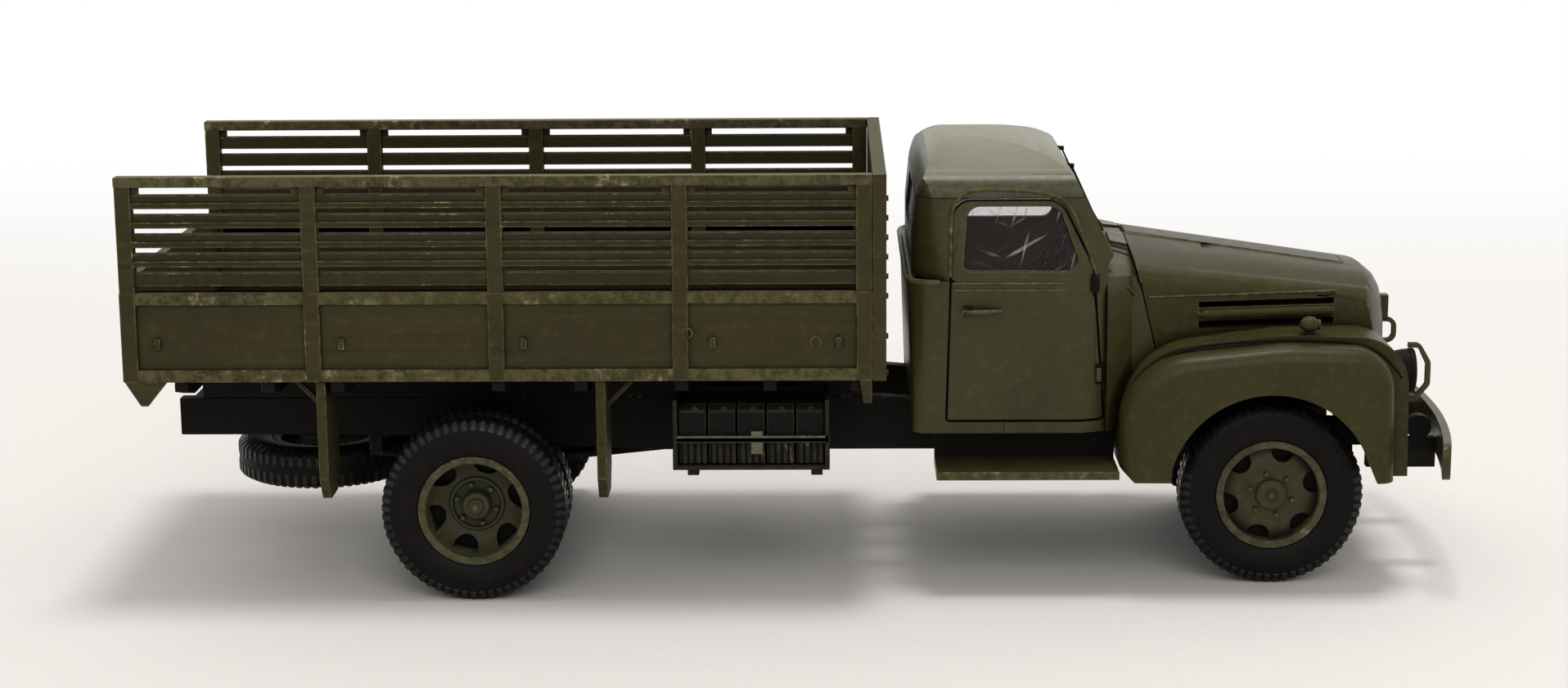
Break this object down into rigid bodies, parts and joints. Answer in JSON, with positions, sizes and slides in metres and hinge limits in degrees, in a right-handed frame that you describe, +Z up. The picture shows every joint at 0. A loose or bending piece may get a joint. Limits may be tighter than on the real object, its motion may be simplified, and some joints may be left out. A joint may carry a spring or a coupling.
{
  "type": "scale model military cargo truck",
  "caption": "Small plastic model of a 1940s army cargo truck: hollow steel-type cab, slatted open bed on a ladder frame, twin rear wheels that roll.",
  "frame": {"origin": "on the ground under the middle of the overall length and width", "axes": "+X towards the nose, +Z up, so the right-hand side is at -Y"},
  "size_m": [0.093, 0.031, 0.0308],
  "materials": {
    "body_paint": "matt olive drab paint on moulded plastic, lighter dry-brushed edges and dark wash in the joints",
    "bed_paint": "matt olive drab paint, chipped and dusty along the rails",
    "wheel_paint": "matt olive drab paint with rubbed rims",
    "chassis_paint": "near-black brown-green matt paint",
    "seat_paint": "matt brown paint",
    "tyre_black": "dark brown-black, slightly satin",
    "clear_plastic": "thin clear plastic with fine scratches"
  },
  "bodies": {
    "chassis": {"bed_bearers": "chassis_paint", "bed_floor": "bed_paint", "bed_side_left": "bed_paint", "bed_side_right": "bed_paint", "bed_sills": "chassis_paint", "bumper_irons": "chassis_paint", "cab_back": "body_paint", "cab_floor": "body_paint", "cab_front": "body_paint", "cab_roof": "body_paint", "can_rack": "chassis_paint", "dashboard": "body_paint", "door_glass": "clear_plastic", "door_left": "body_paint", "door_right": "body_paint", "drive_shaft": "chassis_paint", "engine_block": "chassis_paint", "fender_left": "body_paint", "fender_right": "body_paint", "frame_crossmembers": "chassis_paint", "frame_rails": "chassis_paint", "front_apron": "body_paint", "front_axle_beam": "chassis_paint", "front_bumper": "body_paint", "front_rack": "bed_paint", "front_springs": "chassis_paint", "fuel_tank": "chassis_paint", "grille": "body_paint", "headlamps": "body_paint", "hood": "body_paint", "jerrycans": "chassis_paint", "lamp_guards": "body_paint", "radiator": "chassis_paint", "rear_axle": "chassis_paint", "rear_glass": "clear_plastic", "rear_springs": "chassis_paint", "running_boards": "body_paint", "seat": "seat_paint", "side_rack_left": "bed_paint", "side_rack_right": "bed_paint", "spare_carrier": "chassis_paint", "spare_tyre": "tyre_black", "spare_wheel": "wheel_paint", "splash_boards": "bed_paint", "steering_knuckles": "chassis_paint", "steering_wheel": "chassis_paint", "tailgate": "bed_paint", "windscreen": "clear_plastic"},
    "front_right_wheel": {"front_tyre_right": "tyre_black", "front_wheel_right": "wheel_paint"},
    "front_left_wheel": {"front_tyre_left": "tyre_black", "front_wheel_left": "wheel_paint"},
    "rear_right_wheels": {"rear_tyres_right": "tyre_black", "rear_wheels_right": "wheel_paint"},
    "rear_left_wheels": {"rear_tyres_left": "tyre_black", "rear_wheels_left": "wheel_paint"}
  },
  "joints": [
    {"name": "front_right_wheel_spin", "type": "hinge", "parent": "chassis", "child": "front_right_wheel", "pos_m": [0.03313, -0.0102, 0.00643], "axis": [0, 1, 0], "continuous": true},
    {"name": "front_left_wheel_spin", "type": "hinge", "parent": "chassis", "child": "front_left_wheel", "pos_m": [0.03313, 0.0102, 0.00643], "axis": [0, 1, 0], "continuous": true},
    {"name": "rear_right_wheels_spin", "type": "hinge", "parent": "chassis", "child": "rear_right_wheels", "pos_m": [-0.02261, -0.01402, 0.00643], "axis": [0, 1, 0], "continuous": true},
    {"name": "rear_left_wheels_spin", "type": "hinge", "parent": "chassis", "child": "rear_left_wheels", "pos_m": [-0.02261, 0.01402, 0.00643], "axis": [0, 1, 0], "continuous": true}
  ]
}
